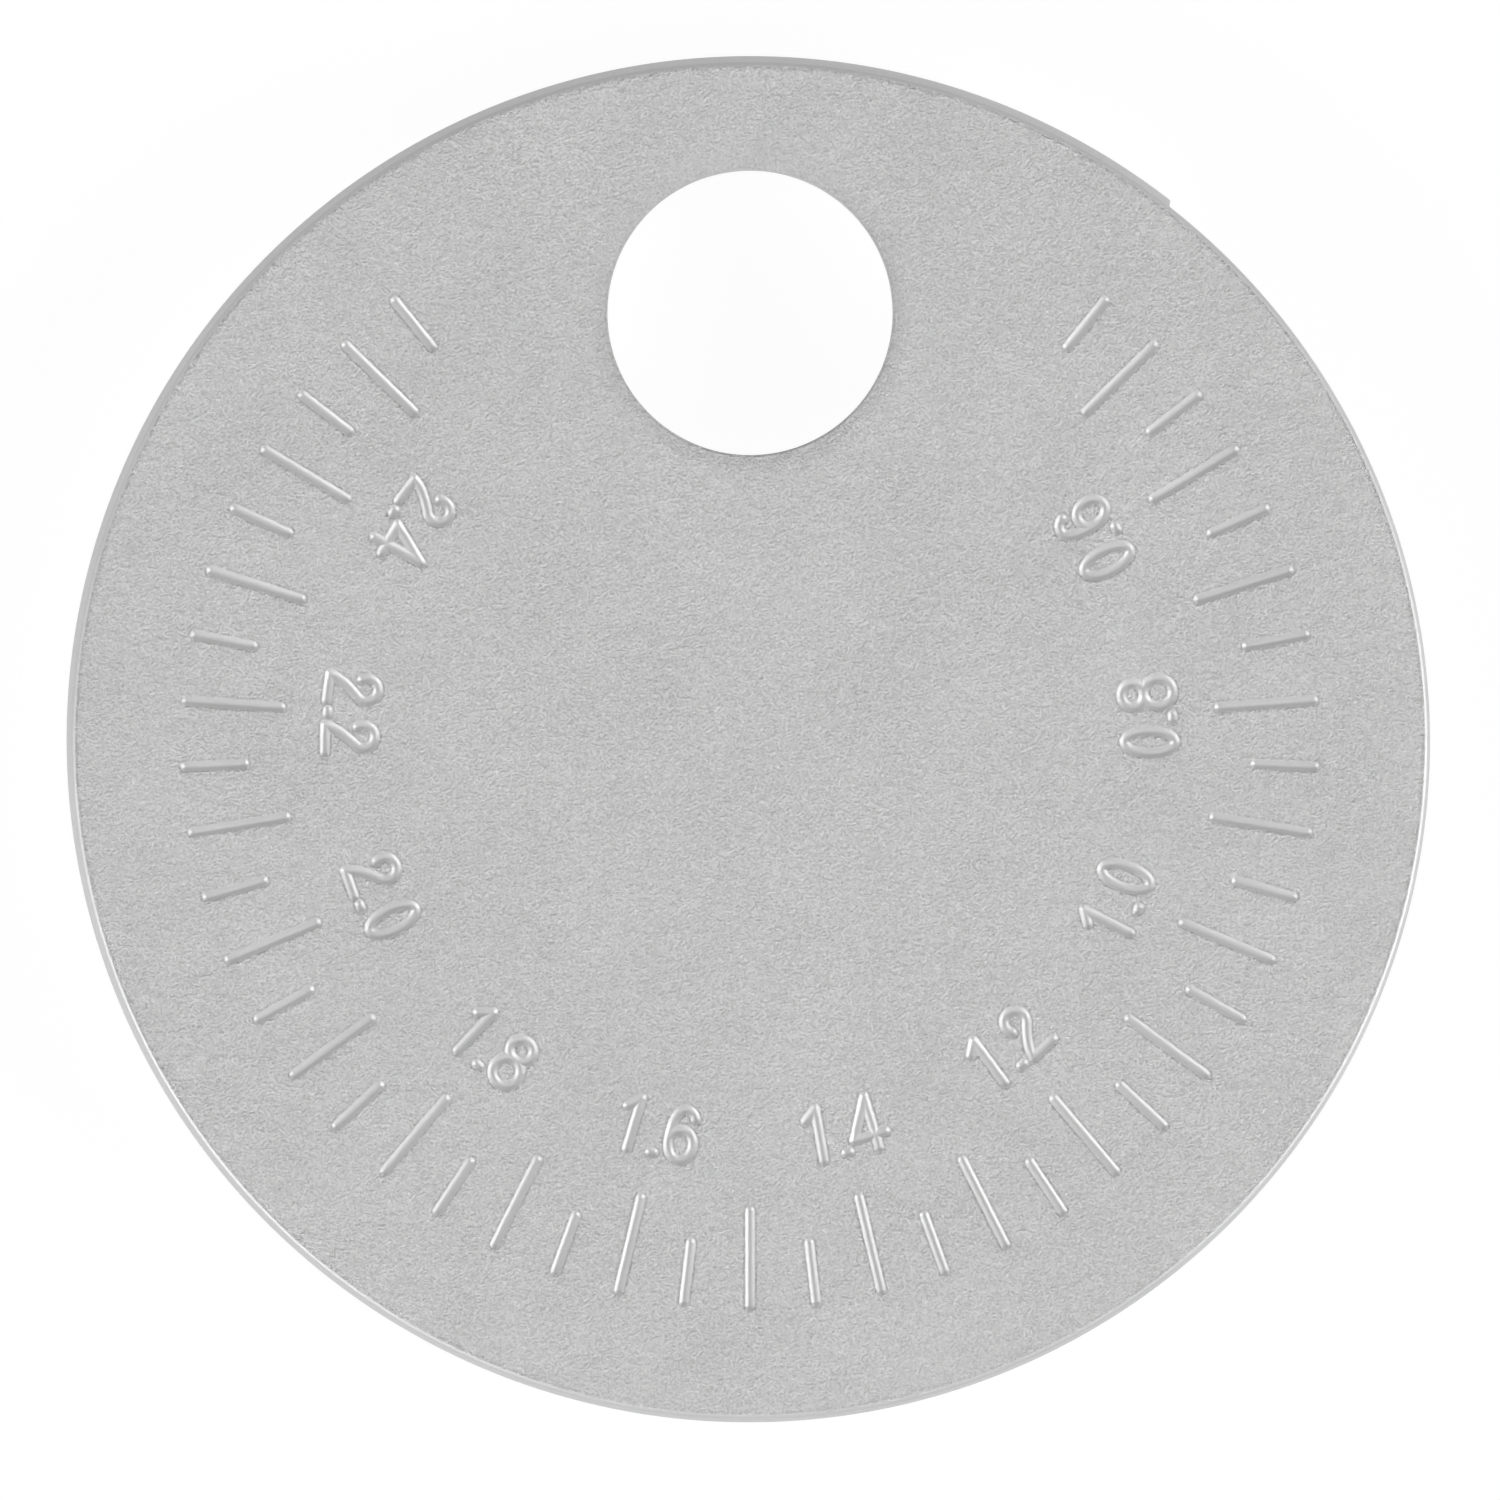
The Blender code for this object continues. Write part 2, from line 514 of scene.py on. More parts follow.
def swept_rim_tree(values):
    """Sweeps the rim's section along the ledge's path, as one closed ring."""
    tree, inputs = new_tree("swept_rim", values)
    section = inputs["Geometry"]
    path = add_node(tree, 'GeometryNodeObjectInfo', {"Object": inputs["Path"]})
    path = path.outputs["Geometry"]

    def size(geometry):
        node = add_node(
            tree, 'GeometryNodeAttributeDomainSize', {"Geometry": geometry}
        )
        return Field(node.outputs["Point Count"])

    rows = size(section)
    grid = add_node(
        tree,
        'GeometryNodeMeshGrid',
        {"Vertices X": size(path), "Vertices Y": rows},
    )
    index = Field(tree.nodes.new('GeometryNodeInputIndex').outputs["Index"])
    station = ((index + 0.5) / rows).math('FLOOR')
    row = index - station * rows

    def sample(geometry, value, place, kind='FLOAT'):
        node = add_node(
            tree,
            'GeometryNodeSampleIndex',
            {"Geometry": geometry, "Value": value, "Index": place},
            data_type=kind,
        )
        return node.outputs["Value"]

    position = tree.nodes.new('GeometryNodeInputPosition').outputs["Position"]
    clock, drop, _ = parts_of(tree, sample(path, position, station, 'FLOAT_VECTOR'))
    radius, height, _ = parts_of(tree, sample(section, position, row, 'FLOAT_VECTOR'))
    follow, slide, pressed = (
        Field(sample(section, attribute(tree, name), row))
        for name in ("follow", "slide", "pressed")
    )

    foot = (inputs["Foot Height"] - drop).highest(0.0)
    sunk = inputs["Foot Height"] - foot
    foot_radius = inputs["Foot Radius"] - sunk * inputs["Wall Slope"]
    level = height - follow * drop
    level = (level - pressed * (level - foot).highest(0.0)).highest(0.0)
    reach = radius + slide * (height - level)
    reach = reach - pressed * (reach - foot_radius).highest(0.0)
    landed = drop.math('COMPARE', inputs["Full Drop"], MERGE_DISTANCE)
    reach = reach.highest(landed * inputs["Land Radius"])
    place = vector(
        tree, reach * clock.math('SINE'), reach * clock.math('COSINE'), level
    )
    placed = add_node(
        tree,
        'GeometryNodeSetPosition',
        {"Geometry": grid.outputs["Mesh"], "Position": place},
    )
    welded = add_node(
        tree,
        'GeometryNodeMergeByDistance',
        {"Geometry": placed.outputs["Geometry"], "Distance": MERGE_DISTANCE},
    )
    end_tree(tree, welded.outputs["Geometry"], inputs["Material"])
    return tree


def swept_rim(casting, scale, material):
    flange = scale.gap_first - casting.ledge_lead * drop_rate(scale)
    section, foot_radius, foot = rim_section(casting, flange)
    radii, heights, follow, slide, pressed = zip(*section)
    rim = point_object(
        "cast_body",
        [(r, z, 0.0) for r, z in zip(radii, heights)],
        joined=True,
        follow=follow,
        slide=slide,
        pressed=pressed,
    )
    path = point_object(
        "ledge_path",
        [(clock, drop, 0.0) for clock, drop in ledge_path(casting, scale, flange)],
        joined=True,
    )
    values = {
        "Path": path,
        "Foot Height": foot,
        "Foot Radius": foot_radius,
        "Wall Slope": math.tan(casting.pocket_draft),
        "Full Drop": FACE_LEVEL - flange,
        "Land Radius": (casting.face_diameter - casting.ledge_width) / 2,
        "Material": material,
    }
    run_tree(rim, swept_rim_tree(values), values)
    remove(path)
    return rim


def hole_centre(casting):
    offset = (casting.face_diameter - casting.hole_diameter) / 2 - casting.hole_margin
    return Vector((0.0, offset))


def mouth_radius(casting):
    """From the hole's middle to where its round edge meets the face."""
    return casting.hole_diameter / 2 + casting.hole_round


def sink_radius(casting):
    """From the hole's middle to where the face starts to sink towards it."""
    return mouth_radius(casting) + casting.sink_width


def add_hole_wall(bm, casting):
    """The wall of the hanging hole, with a round edge at each face."""
    radius = casting.hole_diameter / 2
    flare = casting.hole_round
    arc = arc_points(
        (radius + flare, FACE_LEVEL - flare),
        (flare, flare),
        QUARTER,
        math.pi,
        EDGE_STEPS,
    )
    outline = arc + [(r, FACE_LEVEL - z) for r, z in reversed(arc)]
    centre = hole_centre(casting).to_3d()
    points = [bm.verts.new(centre + Vector((r, 0.0, z))) for r, z in outline]
    edges = [bm.edges.new(pair) for pair in zip(points, points[1:])]
    bmesh.ops.spin(
        bm,
        geom=points + edges,
        cent=centre,
        axis=(0, 0, 1),
        angle=FULL_TURN,
        steps=casting.hole_segments,
        use_merge=True,
    )


def sink_edges(casting):
    """Rings of edges round the hole, in the part of the face that sinks."""
    centre = hole_centre(casting)
    edges = []
    for i in range(1, casting.sink_rings + 1):
        radius = mouth_radius(casting) + casting.sink_width * i / casting.sink_rings
        ring = arc_points(
            centre, (radius, radius), 0.0, FULL_TURN, casting.hole_segments
        )
        ring = [Vector(place) for place in ring[:-1]]
        edges += zip(ring, ring[1:] + ring[:1])
    return edges


def sink_face(bm, casting):
    """Lets the face sink softly towards the hole, with the hole's round edge."""
    centre = hole_centre(casting)
    lowest = FACE_LEVEL - casting.hole_round - MERGE_DISTANCE
    for vert in bm.verts:
        outwards = (vert.co.xy - centre).length - mouth_radius(casting)
        outwards = max(outwards / casting.sink_width, 0.0)
        if vert.co.z > lowest and outwards < 1.0:
            vert.co.z -= casting.sink_depth * (1.0 - outwards) ** 2


def open_edges(bm, level):
    """The edges at a level that have a face on one side alone."""
    return [
        edge for edge in bm.edges
        if edge.is_boundary
        and all(abs(vert.co.z - level) < MERGE_DISTANCE for vert in edge.verts)
    ]


def add_face_sheet(bm, outline, strokes, casting):
    """Fills the face round the hole with triangles that keep the strokes' lines.

    Triangles with all their corners on the hole's mouth would close it and are left out.
    """
    pairs = [[vert.co.xy for vert in edge.verts] for edge in outline] + strokes
    places, index = [], {}
    for pair in pairs:
        for place in pair:
            if tuple(place) not in index:
                index[tuple(place)] = len(places)
                places.append(place / MM)
    links = [[index[tuple(place)] for place in pair] for pair in pairs]
    places, _, triangles, *_ = delaunay_2d_cdt(
        places, links, [], 0, FILL_TOLERANCE, False
    )

    verts = [bm.verts.new((*place * MM, FACE_LEVEL)) for place in places]
    middle = hole_centre(casting).to_3d() + Vector((0.0, 0.0, FACE_LEVEL))
    mouth = mouth_radius(casting) + MERGE_DISTANCE
    for corners in triangles:
        corners = [verts[i] for i in corners]
        if any((vert.co - middle).length > mouth for vert in corners):
            bm.faces.new(corners)
    bmesh.ops.remove_doubles(bm, verts=bm.verts, dist=MERGE_DISTANCE)


def weld_edges(bm):
    """Joins the open edges that lie on each other, and checks that all is closed."""
    rings = [vert for vert in bm.verts if vert.is_boundary]
    bmesh.ops.remove_doubles(bm, verts=rings, dist=MERGE_DISTANCE)
    loose = [vert for vert in bm.verts if not vert.link_faces]
    bmesh.ops.delete(bm, geom=loose, context='VERTS')
    bmesh.ops.recalc_face_normals(bm, faces=bm.faces)
    if any(not edge.is_manifold for edge in bm.edges):
        raise RuntimeError("the cast body isn't closed")


def finish_piece(obj):
    """Puts a finished piece on the model's body."""
    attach(obj, BODY)


class GAPGAUGE_OT_cast_body(bpy.types.Operator):
    """Builds the cast disc with its rim flange, ledge, notch, hole and sunk scale"""

    bl_idname = "gap_gauge.cast_body"
    bl_label = "Cast Body"

    def execute(self, context):
        casting = context.scene.gap_gauge_casting
        scale = context.scene.gap_gauge_scale
        lines = [bpy.data.objects[name] for name in (TICK_LINES, NUMBER_LINES)]
        skin = cast_zinc(context.scene)
        body = swept_rim(casting, scale, skin)

        bm = bmesh.new()
        bm.from_mesh(body.data)
        add_hole_wall(bm, casting)
        bmesh.ops.triangle_fill(bm, edges=open_edges(bm, 0.0), use_beauty=True)
        for edge in bm.edges:
            edge.smooth = edge.calc_face_angle(0.0) < SHARP_ANGLE
        face = pressed_face(open_edges(bm, FACE_LEVEL), lines, casting, scale, skin)
        bm.from_mesh(face.data)
        weld_edges(bm)
        sink_face(bm, casting)
        for polygon in bm.faces:
            polygon.smooth = True
            polygon.material_index = 0
        body.data.materials.clear()
        body.data.materials.append(skin)
        bm.to_mesh(body.data)
        bm.free()

        smooth = body.modifiers.new("even_shading", 'WEIGHTED_NORMAL')
        smooth.keep_sharp = True
        keep_result(body)
        remove(face, *lines)
        finish_piece(body)
        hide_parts(NODE)
        return {'FINISHED'}


# Sunk scale


TICK_LINES = "tick_lines"
NUMBER_LINES = "number_lines"


def stroke_slope(scale):
    """How steep a stroke's sides are: its depth over the width of one side."""
    return scale.stroke_depth / (scale.stroke_width - scale.stroke_floor) * 2


def stroke_lines(mesh):
    """The chains of edges in a mesh, as lists of places, and whether each closes."""
    links = {vert.index: [] for vert in mesh.vertices}
    for edge in mesh.edges:
        for here, there in (edge.vertices, reversed(edge.vertices)):
            links[here].append(there)
    starts = sorted(links, key=lambda i: len(links[i]))
    seen, lines = set(), []
    for start in starts:
        if start in seen:
            continue
        line = [start]
        while True:
            seen.add(line[-1])
            ahead = [i for i in links[line[-1]] if i not in seen]
            if not ahead:
                break
            line.append(ahead[0])
        closed = len(links[start]) == 2
        lines.append(([mesh.vertices[i].co.xy for i in line], closed))
    return lines


def stroke_edges(mesh, scale):
    """Lines along each stroke and round its ends, from its middle to its edges."""
    reach = scale.stroke_width / 2 + scale.shoulder / stroke_slope(scale)
    steps = range(-scale.contours, scale.contours + 1)
    edges = []
    for line, closed in stroke_lines(mesh):
        rows = [[] for _ in steps]
        count = len(line)
        for i, place in enumerate(line):
            before = line[i - 1] if i or closed else place
            after = line[(i + 1) % count] if i + 1 < count or closed else place
            ahead, behind = (after - place).normalized(), (place - before).normalized()
            way = (ahead + behind).normalized()
            side = Vector((-way.y, way.x)) / way.dot(ahead if ahead.length else behind)
            for row, step in zip(rows, steps):
                row.append(place + side * (reach * step / scale.contours))
        for row in rows:
            edges += list(zip(row, row[1:] + row[:1] if closed else row[1:]))
        if closed:
            continue
        for end, inner in ((line[0], line[1]), (line[-1], line[-2])):
            out = (end - inner).normalized() * reach
            side = Vector((-out.y, out.x))
            for step in range(1, scale.contours + 1):
                arc = [
                    end + (side * math.cos(a) + out * math.sin(a)) * step / scale.contours
                    for a in (
                        math.pi * i / scale.end_points
                        for i in range(scale.end_points + 1)
                    )
                ]
                edges += list(zip(arc, arc[1:]))
    return edges


def pressed_face_tree(values):
    """Lowers the points of a flat face near the scale's lines, as a punch does."""
    tree, inputs = new_tree("pressed_face", values)
    lines = tree.nodes.new('GeometryNodeJoinGeometry')
    for name in ("Ticks", "Numbers"):
        node = add_node(tree, 'GeometryNodeObjectInfo', {"Object": inputs[name]})
        feed(lines.inputs["Geometry"], node.outputs["Geometry"])
    position = tree.nodes.new('GeometryNodeInputPosition').outputs["Position"]
    across, along, _ = parts_of(tree, position)
    near = add_node(
        tree,
        'GeometryNodeProximity',
        {
            "Geometry": lines.outputs["Geometry"],
            "Sample Position": vector(tree, across, along),
        },
        target_element='EDGES',
    )
    aside = Field(near.outputs["Distance"])
    flank = (inputs["Stroke Width"] / 2.0 - aside) * inputs["Slope"]
    depth = flank.math('SMOOTH_MAX', 0.0, inputs["Shoulder"])
    depth = depth.math('SMOOTH_MIN', inputs["Stroke Depth"], inputs["Floor Round"])
    pressed = add_node(
        tree,
        'GeometryNodeSetPosition',
        {"Geometry": inputs["Geometry"], "Offset": vector(tree, z=depth * -1.0)},
    )
    end_tree(tree, pressed.outputs["Geometry"], inputs["Material"])
    return tree


def pressed_face(outline, lines, casting, scale, material):
    """The face as an object, with the strokes of the scale pressed into it."""
    bm = bmesh.new()
    strokes = [edge for obj in lines for edge in stroke_edges(obj.data, scale)]
    add_face_sheet(bm, outline, strokes + sink_edges(casting), casting)
    mesh = bpy.data.meshes.new("face")
    bm.to_mesh(mesh)
    bm.free()
    face = add_object("face", mesh)
    ticks, numbers = lines
    values = {
        "Ticks": ticks,
        "Numbers": numbers,
        "Stroke Width": scale.stroke_width,
        "Stroke Depth": scale.stroke_depth,
        "Slope": stroke_slope(scale),
        "Shoulder": scale.shoulder,
        "Floor Round": scale.floor_round,
        "Material": material,
    }
    run_tree(face, pressed_face_tree(values), values)
    return face


def end_lines(tree, instances, material):
    """Ends a tree whose instances of curves become the middle lines of strokes."""
    curves = add_node(tree, 'GeometryNodeRealizeInstances', {"Geometry": instances})
    wires = add_node(
        tree, 'GeometryNodeCurveToMesh', {"Curve": curves.outputs["Geometry"]}
    )
    end_tree(tree, wires.outputs["Mesh"], material)


def tick_ring_tree(values):
    """The middle line of a short or long stroke for each gap, round the ring."""
    tree, inputs = new_tree("tick_ring", values)
    width = inputs["Stroke Width"]
    start = inputs["Outer Radius"] - width / 2
    index = Field(tree.nodes.new('GeometryNodeInputIndex').outputs["Index"])
    clock = index * inputs["Clock Step"] + inputs["First Clock"]
    odd = index.math('MODULO', 2.0)
    reach = odd * (inputs["Long"] - inputs["Short"]) + inputs["Short"] - width

    points = add_node(
        tree, 'GeometryNodeMeshLine', {"Count": inputs["Count"]}
    ).outputs["Mesh"]
    points = add_node(
        tree,
        'GeometryNodeSetPosition',
        {
            "Geometry": points,
            "Position": vector(
                tree, start * clock.math('SINE'), start * clock.math('COSINE')
            ),
        },
    ).outputs["Geometry"]
    line = add_node(
        tree,
        'GeometryNodeCurvePrimitiveLine',
        {"Start": (0, 0, 0), "End": (0, -1, 0)},
    )
    lines = add_node(
        tree,
        'GeometryNodeInstanceOnPoints',
        {
            "Points": points,
            "Instance": line.outputs["Curve"],
            "Rotation": vector(tree, z=clock * -1.0),
            "Scale": vector(tree, 1.0, reach, 1.0),
        },
    )
    end_lines(tree, lines.outputs["Instances"], inputs["Material"])
    return tree


class GAPGAUGE_OT_scale_ticks(bpy.types.Operator):
    """Builds the middle lines of the ring of ticks, one for each gap on the ledge"""

    bl_idname = "gap_gauge.scale_ticks"
    bl_label = "Scale Ticks"

    def execute(self, context):
        casting = context.scene.gap_gauge_casting
        scale = context.scene.gap_gauge_scale
        steps = round((scale.gap_last - scale.gap_first) / scale.gap_step)
        values = {
            "Count": steps + 1,
            "First Clock": first_tick(scale),
            "Clock Step": scale.arc / steps,
            "Outer Radius": casting.face_diameter / 2 - scale.tick_margin,
            "Long": scale.tick_long,
            "Short": scale.tick_short,
            "Stroke Width": scale.stroke_width,
            "Material": cast_zinc(context.scene),
        }
        ticks = point_object(TICK_LINES, [(0.0, 0.0, 0.0)])
        run_tree(ticks, tick_ring_tree(values), values)
        return {'FINISHED'}


def bezier_points(start, handle_a, handle_b, end):
    """Points of a curve of two handles, without its start."""
    points = []
    for i in range(1, BEND_STEPS + 1):
        t = i / BEND_STEPS
        u = 1 - t
        points.append(tuple(
            u**3 * a + 3 * u * u * t * b + 3 * u * t * t * c + t**3 * d
            for a, b, c, d in zip(start, handle_a, handle_b, end)
        ))
    return points


def smooth_stroke(start, *bends):
    """Points of a stroke from its start through curves of two handles and an end."""
    points = [start]
    for handle_a, handle_b, end in bends:
        points += bezier_points(points[-1], handle_a, handle_b, end)
    return points


def oval(centre, radii):
    return arc_points(centre, radii, 0.0, FULL_TURN, OVAL_STEPS)[:-1]


def digit_strokes():
    """Centre lines of each digit's strokes in millimetres, and which of them close.

    The middle of a digit is at the origin, and its strokes reach about 0.7 up and down.
    """
    hook = arc_points(
        (-0.06, 0.37), (0.32, 0.32), math.radians(212), math.radians(-42), HOOK_STEPS
    )
    neck = hook[-1]
    return {
        "0": [(oval((0.0, 0.0), (0.31, 0.71)), True)],
        "1": [
            ([(0.0, 0.72), (0.0, -0.74)], False),
            ([(0.0, 0.72), (-0.32, 0.43)], False),
        ],
        "2": [
            (
                hook + bezier_points(
                    neck,
                    (neck[0] - 0.22, neck[1] - 0.22),
                    (-0.35, -0.45),
                    (-0.38, -0.71),
                ),
                False,
            ),
            ([(-0.38, -0.71), (0.38, -0.71)], False),
        ],
        "4": [
            ([(0.14, 0.73), (-0.48, -0.37)], False),
            ([(-0.48, -0.37), (0.44, -0.37)], False),
            ([(0.14, 0.73), (0.14, -0.76)], False),
        ],
        "6": [
            (
                smooth_stroke(
                    (0.32, 0.48),
                    ((0.27, 0.62), (0.17, 0.71), (0.02, 0.71)),
                    ((-0.24, 0.71), (-0.34, 0.20), (-0.34, -0.18)),
                    ((-0.34, -0.50), (-0.20, -0.72), (0.02, -0.72)),
                    ((0.22, -0.72), (0.36, -0.53), (0.36, -0.29)),
                    ((0.36, -0.05), (0.22, 0.13), (0.02, 0.13)),
                    ((-0.18, 0.13), (-0.32, 0.00), (-0.34, -0.18)),
                ),
                False,
            ),
        ],
        "8": [
            (oval((0.0, 0.41), (0.34, 0.31)), True),
            (oval((0.0, -0.31), (0.39, 0.41)), True),
        ],
        "dot": [([(-0.05, 0.0), (0.05, 0.0)], False)],
    }


# Place of each number beside its tick, in millimetres along the ring
NUMBER_SHIFTS = {
    0.6: -0.12, 0.8: -0.13, 1.0: -0.09, 1.2: -0.01, 1.4: 0.03,
    1.6: 0.04, 1.8: 0.11, 2.0: 0.08, 2.2: 0.08, 2.4: -0.31,
}

# Places of the signs in a number, across it and down, in millimetres
LEFT_DIGIT, RIGHT_DIGIT, DOT = -0.70, 0.66, -0.04
DOT_DROP = 0.66


def digit_curves():
    """A collection with a flat curve object for each digit and for the dot."""
    collection = bpy.data.collections.new("digits")
    for name, strokes in sorted(digit_strokes().items()):
        curve = bpy.data.curves.new(f"digit_{name}", 'CURVE')
        curve.dimensions = '3D'
        for points, closed in strokes:
            spline = curve.splines.new('POLY')
            spline.points.add(len(points) - 1)
            for point, (x, y) in zip(spline.points, points):
                point.co = (x * MM, y * MM, 0.0, 1.0)
            spline.use_cyclic_u = closed
        collection.objects.link(bpy.data.objects.new(curve.name, curve))
    return collection


def number_places(scale):
    """Place on the ring, turn and digit of each sign of the scale's numbers."""
    order = sorted(digit_strokes())
    places = []
    for gap, shift in NUMBER_SHIFTS.items():
        clock = first_tick(scale) + (gap * MM - scale.gap_first) / drop_rate(scale)
        left, right = f"{gap:.1f}".split(".")
        for sign, across, drop in (
            (left, LEFT_DIGIT, 0.0), ("dot", DOT, DOT_DROP), (right, RIGHT_DIGIT, 0.0)
        ):
            at = clock - (across + shift) * MM / scale.digit_radius
            radius = scale.digit_radius + drop * MM
            places.append((
                (radius * math.sin(at), radius * math.cos(at), 0.0),
                math.pi - at,
                order.index(sign),
            ))
    return places


def number_ring_tree(values):
    """Sets the middle lines of the digits' strokes on their places round the ring."""
    tree, inputs = new_tree("number_ring", values)
    digits = add_node(
        tree,
        'GeometryNodeCollectionInfo',
        {
            "Collection": inputs["Digits"],
            "Separate Children": True,
            "Reset Children": True,
        },
    )
    placed = add_node(
        tree,
        'GeometryNodeInstanceOnPoints',
        {
            "Points": inputs["Geometry"],
            "Instance": digits.outputs["Instances"],
            "Pick Instance": True,
            "Instance Index": attribute(tree, "sign"),
            "Rotation": vector(tree, z=attribute(tree, "turn")),
        },
    )
    end_lines(tree, placed.outputs["Instances"], inputs["Material"])
    return tree


class GAPGAUGE_OT_scale_numbers(bpy.types.Operator):
    """Builds the middle lines of the scale's numbers, with their feet to the rim"""

    bl_idname = "gap_gauge.scale_numbers"
    bl_label = "Scale Numbers"

    def execute(self, context):
        scale = context.scene.gap_gauge_scale
        points, turns, signs = zip(*number_places(scale))
        numbers = point_object(NUMBER_LINES, points, turn=turns, sign=signs)
        digits = digit_curves()
        values = {
            "Digits": digits,
            "Material": cast_zinc(context.scene),
        }
        run_tree(numbers, number_ring_tree(values), values)
        remove(*digits.objects)
        bpy.data.collections.remove(digits)
        return {'FINISHED'}


# Finish


def cast_zinc(scene):
    """Matt zinc with the fine grain of a tumbled die casting.

    Beside the face, it is rougher on the strokes' shoulders, nearly smooth in the strokes
    and half as rough on the walls and the back.
    """
    material = bpy.data.materials.get("cast_zinc_skin")
    if material:
        return material
    casting, finish = scene.gap_gauge_casting, scene.gap_gauge_finish
    material = bpy.data.materials.new("cast_zinc_skin")
    material.use_nodes = True
    tree = material.node_tree
    shader = tree.nodes["Principled BSDF"]
    place = tree.nodes.new('ShaderNodeTexCoord').outputs["Object"]

    def noise(width, detail, roughness=0.5):
        node = add_node(
            tree,
            'ShaderNodeTexNoise',
            {
                "Vector": place,
                "Scale": 1.0 / width,
                "Detail": detail,
                "Roughness": roughness,
            },
        )
        return Field(node.outputs["Fac"])

    grain = noise(finish.grain, detail=3.0, roughness=0.65)
    broad = noise(finish.broad_grain, detail=1.0)
    cloud = noise(finish.cloud, detail=3.0)

    across, along, level = parts_of(tree, place)
    off_hole = along - hole_centre(casting).y
    off_hole = (across * across + off_hole * off_hole).root()
    depth = FACE_LEVEL - level
    sunk = (depth / finish.calm_depth).lowest(1.0).highest(0.0)
    sunk = sunk * off_hole.math('GREATER_THAN', sink_radius(casting))
    rough = sunk * (1.0 - sunk).math('POWER', SHOULDER_FADE) * finish.shoulder_grain
    wall = (depth / finish.wall_depth).lowest(1.0).highest(0.0) * finish.wall_grain
    calm = 1.0 - sunk * (1.0 - wall) * finish.calm + rough
    bump = add_node(
        tree,
        'ShaderNodeBump',
        {
            "Strength": calm,
            "Distance": finish.grain_height,
            "Height": grain + broad * finish.broad_share,
        },
    )

    clouds = (cloud - 0.5) * finish.cloud_tone
    tone = ((grain - 0.5) * calm + clouds) * finish.tone + 1.0
    grey = add_node(
        tree,
        'ShaderNodeVectorMath',
        {0: tuple(finish.grey)[:3], 1: vector(tree, tone, tone, tone)},
        operation='MULTIPLY',
    )
    feed(shader.inputs["Base Color"], grey.outputs["Vector"])
    roughness = (cloud - 0.5) * finish.cloud_roughness + finish.roughness
    feed(shader.inputs["Roughness"], roughness)
    feed(shader.inputs["Metallic"], finish.metallic)
    feed(shader.inputs["Normal"], bump.outputs["Normal"])
    return material


# Stage


def seen_directly(tree):
    """One for a ray from the camera or by way of gloss or glass, else zero."""
    rays = tree.nodes.new('ShaderNodeLightPath').outputs
    seen = Field(rays["Is Camera Ray"])
    for name in ("Is Glossy Ray", "Is Transmission Ray"):
        seen = seen.highest(rays[name])
    return seen


def white_floor(stage):
    """Paper that looks white by itself and shows a little of the gauge's shadow."""
    material = bpy.data.materials.new("white_floor")
    material.use_nodes = True
    tree = material.node_tree
    tree.nodes.clear()
    grey = stage.floor_grey
    paper = add_node(tree, 'ShaderNodeBsdfDiffuse', {"Color": (grey, grey, grey, 1.0)})
    glow = add_node(tree, 'ShaderNodeEmission', {"Strength": stage.floor_white})
    shine = seen_directly(tree) * (1.0 - stage.floor_shadow)
    mix = add_node(
        tree,
        'ShaderNodeMixShader',
        {0: shine, 1: paper.outputs[0], 2: glow.outputs[0]},
    )
    out = tree.nodes.new('ShaderNodeOutputMaterial')
    feed(out.inputs["Surface"], mix.outputs[0])
    return material


def add_softbox(name, power, clock, rise, distance, width, height):
    """A lamp at a clock angle and a rise above the floor, aimed at the gauge."""
    clock, rise = math.radians(clock), math.radians(rise)
    place = distance * Vector((
        math.sin(clock) * math.cos(rise),
        math.cos(clock) * math.cos(rise),
        math.sin(rise),
    ))
    lamp = bpy.data.lights.new(name, 'AREA')
    lamp.shape = 'RECTANGLE'
    lamp.size = width
    lamp.size_y = height
    lamp.energy = power
    obj = add_object(name, lamp)
    obj.location = place
    obj.rotation_euler = (-place).to_track_quat('-Z', 'Y').to_euler()


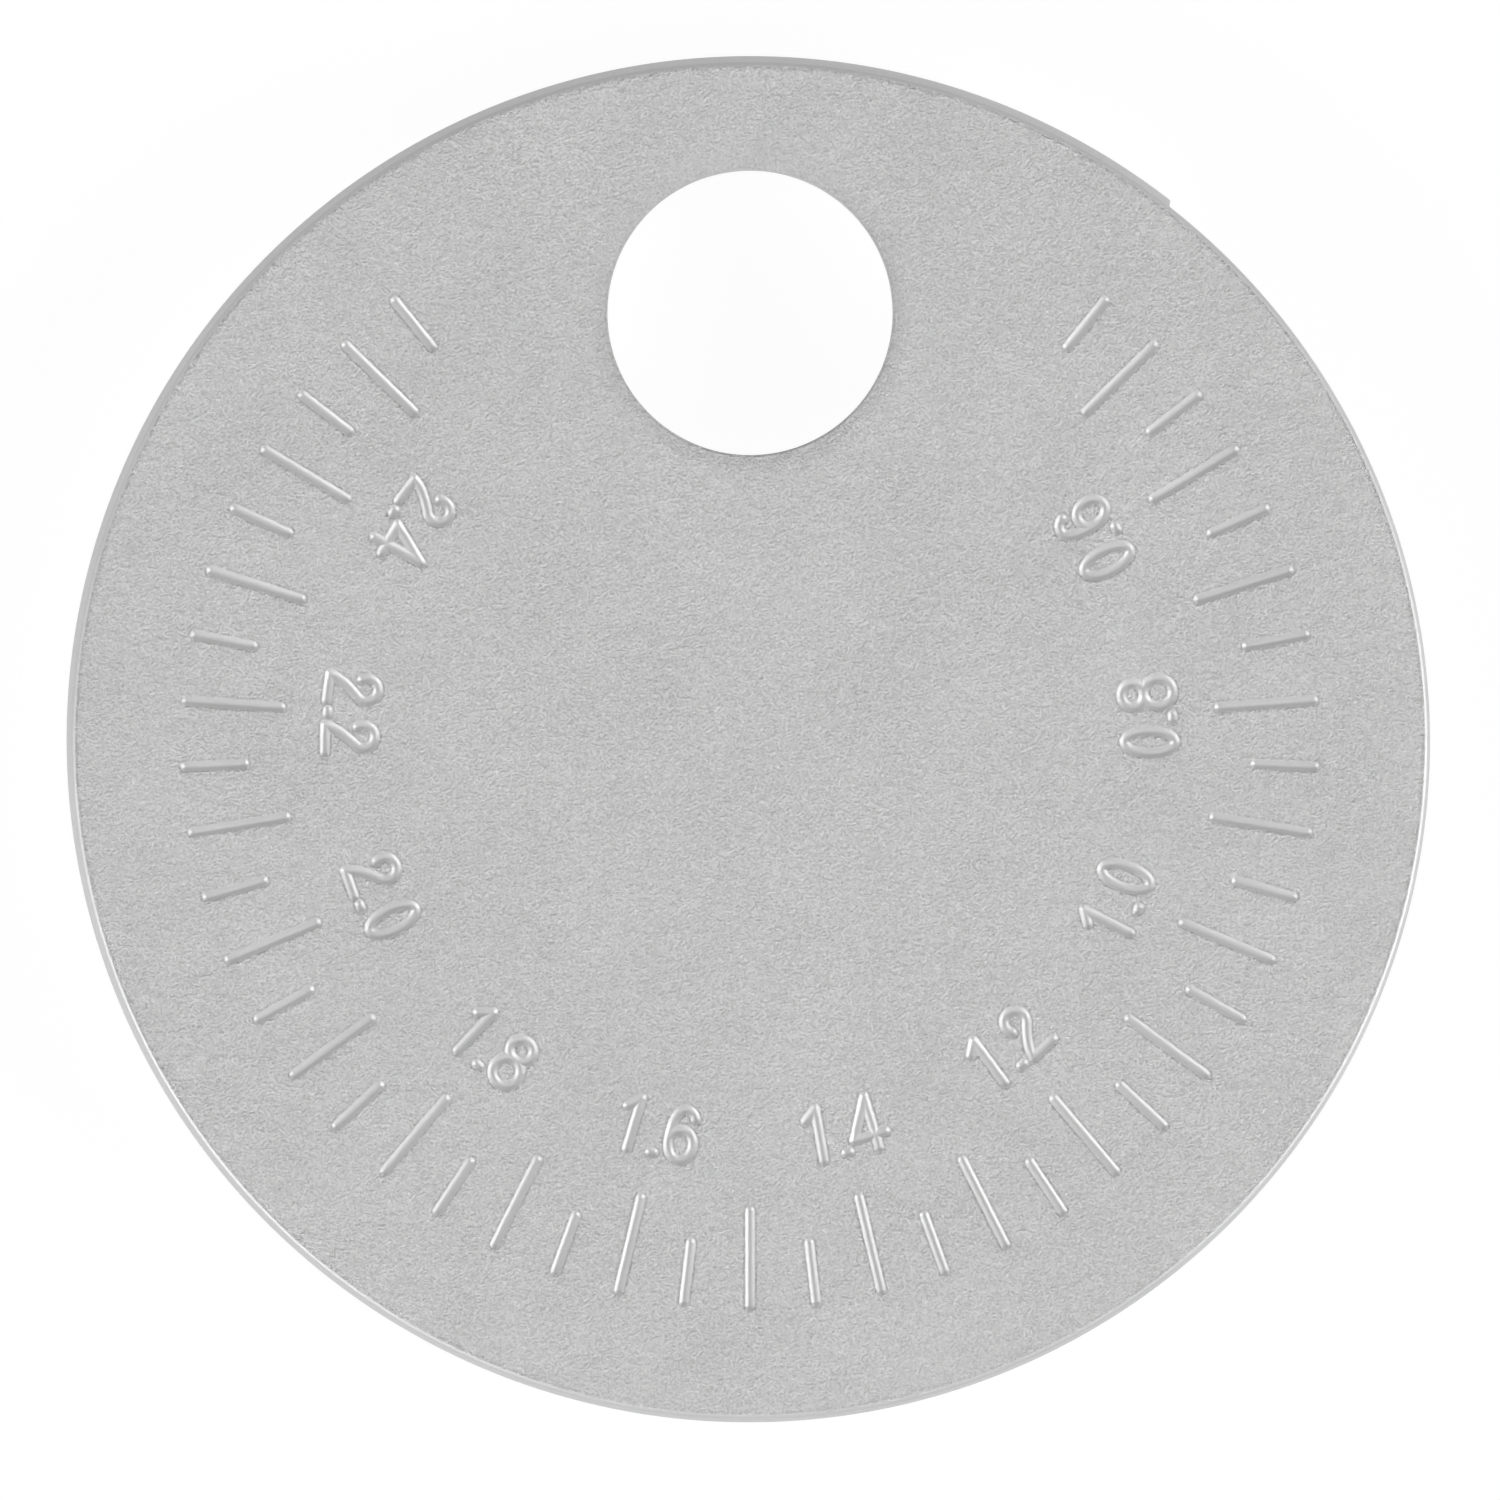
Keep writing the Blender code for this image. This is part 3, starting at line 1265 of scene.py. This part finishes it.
class GAPGAUGE_OT_stage(bpy.types.Operator):
    """Builds the white floor, the soft lamps, the world and the camera"""

    bl_idname = "gap_gauge.stage"
    bl_label = "Stage"

    def execute(self, context):
        stage = context.scene.gap_gauge_stage

        bm = bmesh.new()
        bmesh.ops.create_grid(bm, size=stage.floor_width / 2)
        mesh = bpy.data.meshes.new("floor")
        bm.to_mesh(mesh)
        bm.free()
        mesh.materials.append(white_floor(stage))
        floor = add_object("floor", mesh)
        floor.location = (0, 0, -stage.floor_gap)

        side = {"rise": 21, "distance": 0.45, "width": 0.34, "height": 0.14}
        above = {"rise": 87, "distance": 1.60, "width": 0.60, "height": 0.50}
        add_softbox("right_softbox", stage.right_lamp, clock=101, **side)
        add_softbox("left_softbox", stage.left_lamp, clock=236, **side)
        add_softbox("top_softbox", stage.top_lamp, clock=0, **above)

        world = bpy.data.worlds.new("studio")
        context.scene.world = world
        world.use_nodes = True
        tree = world.node_tree
        sky = tree.nodes["Background"]
        feed(sky.inputs["Color"], (1.0, 1.0, 1.0, 1.0))
        seen = seen_directly(tree)
        feed(sky.inputs["Strength"], seen * (1.0 - stage.fill) + stage.fill)

        lens = bpy.data.cameras.new("camera")
        lens.sensor_width = 36.0
        lens.lens = lens.sensor_width * stage.view_distance / stage.view_width
        lens.clip_start = 0.01
        lens.clip_end = 20.0
        camera = add_object("camera", lens)
        camera.location = (0, -stage.view_drop, FACE_LEVEL + stage.view_distance)
        context.scene.camera = camera

        context.scene.view_settings.view_transform = 'Standard'
        return {'FINISHED'}


# Panel and registration


OPERATORS = (
    GAPGAUGE_OT_scale_ticks,
    GAPGAUGE_OT_scale_numbers,
    GAPGAUGE_OT_cast_body,
    GAPGAUGE_OT_stage,
)
SETTINGS = {
    "gap_gauge_casting": GapGaugeCasting,
    "gap_gauge_scale": GapGaugeScale,
    "gap_gauge_finish": GapGaugeFinish,
    "gap_gauge_stage": GapGaugeStage,
}


class GAPGAUGE_PT_build(bpy.types.Panel):
    """Lists the settings and the pieces of the gauge"""

    bl_label = "Gap Gauge"
    bl_idname = "GAPGAUGE_PT_build"
    bl_space_type = 'VIEW_3D'
    bl_region_type = 'UI'
    bl_category = "Gap Gauge"

    def draw(self, context):
        for name, group in SETTINGS.items():
            box = self.layout.box()
            box.label(text=group.__doc__)
            for prop in group.__annotations__:
                box.prop(getattr(context.scene, name), prop)
        for operator in OPERATORS:
            self.layout.operator(operator.bl_idname)


def register():
    for cls in (*SETTINGS.values(), *OPERATORS, GAPGAUGE_PT_build):
        bpy.utils.register_class(cls)
    for name, group in SETTINGS.items():
        setattr(bpy.types.Scene, name, PointerProperty(type=group))


def unregister():
    for name in SETTINGS:
        delattr(bpy.types.Scene, name)
    for cls in (GAPGAUGE_PT_build, *OPERATORS, *SETTINGS.values()):
        bpy.utils.unregister_class(cls)


def main():
    register()
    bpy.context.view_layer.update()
    bpy.ops.gap_gauge.scale_ticks()
    bpy.ops.gap_gauge.scale_numbers()
    bpy.ops.gap_gauge.cast_body()
    bpy.ops.gap_gauge.stage()


if __name__ == "__main__":
    main()
